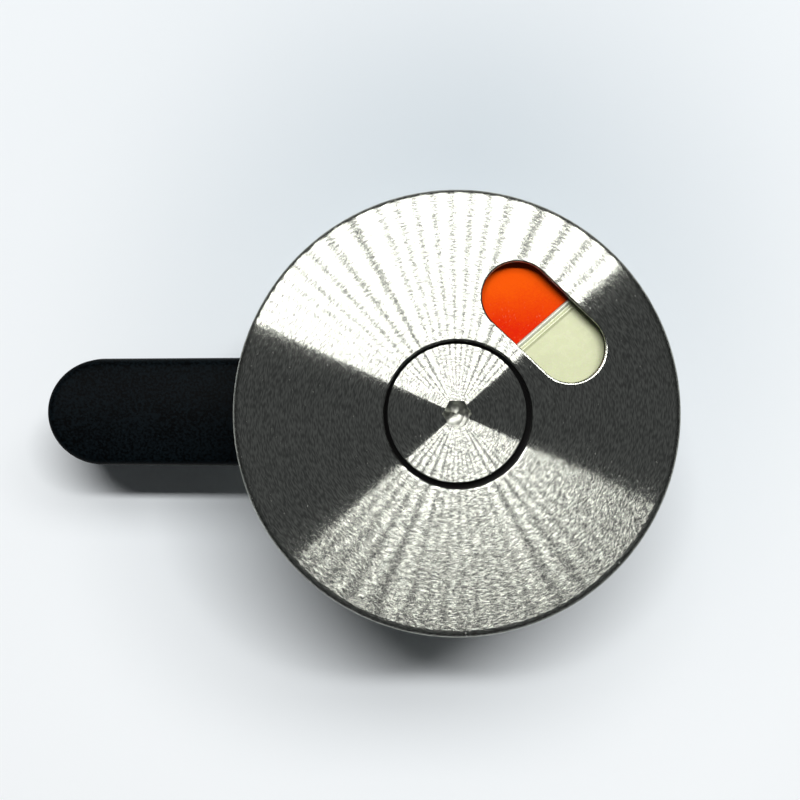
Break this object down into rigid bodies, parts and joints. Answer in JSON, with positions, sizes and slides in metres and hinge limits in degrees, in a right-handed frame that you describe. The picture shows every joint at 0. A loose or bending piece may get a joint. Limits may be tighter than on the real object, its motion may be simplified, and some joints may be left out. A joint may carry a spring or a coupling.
{
  "type": "indicator thumbturn",
  "caption": "Round indicator thumbturn set for a cubicle door: satin steel roses with a two-colour window, a release disc, and a black latch arm under a round turn knob.",
  "frame": {"origin": "on the spindle's axis, in the plane of the door panel's outer face, midway between the two posts", "axes": "+Z out of the door along the spindle, -X along the latch arm in the stored pose, +Y up in the picture"},
  "size_m": [0.0821, 0.054, 0.049],
  "materials": {
    "satin_stainless": "satin",
    "stainless_plate": "rolled",
    "plated_steel": "bright plated",
    "spring_steel": "oiled dark",
    "die_casting": "as cast",
    "bush_nylon": "matte",
    "cream_plastic": "gloss",
    "orange_red_film": "fine grain",
    "black_nylon": "fine moulded grain"
  },
  "bodies": {
    "fixed_set": {"outer_rose": "satin_stainless", "outer_base": "die_casting", "fixing_posts": "plated_steel", "outer_bush": "bush_nylon", "inner_base": "die_casting", "inner_rose": "satin_stainless", "inner_bush": "bush_nylon", "fixing_screws": "plated_steel"},
    "turning_set": {"release_disc": "satin_stainless", "square_spindle": "plated_steel", "spindle_pin": "spring_steel", "indicator_dial": "cream_plastic", "red_plate": "orange_red_film", "spring_washer": "spring_steel", "retaining_ring": "spring_steel", "lever_hub": "die_casting", "stop_pin": "spring_steel", "lever_core": "stainless_plate", "lever_sleeve": "black_nylon", "cap_carrier": "die_casting", "carrier_screws": "plated_steel", "hub_washer": "plated_steel", "hub_screw": "plated_steel", "turn_knob": "satin_stainless", "grub_screws": "plated_steel"}
  },
  "joints": [
    {"name": "turn", "type": "hinge", "parent": "fixed_set", "child": "turning_set", "pos_m": [0, 0, 0], "axis": [0, 0, 1], "range_deg": [-45, 45]}
  ]
}
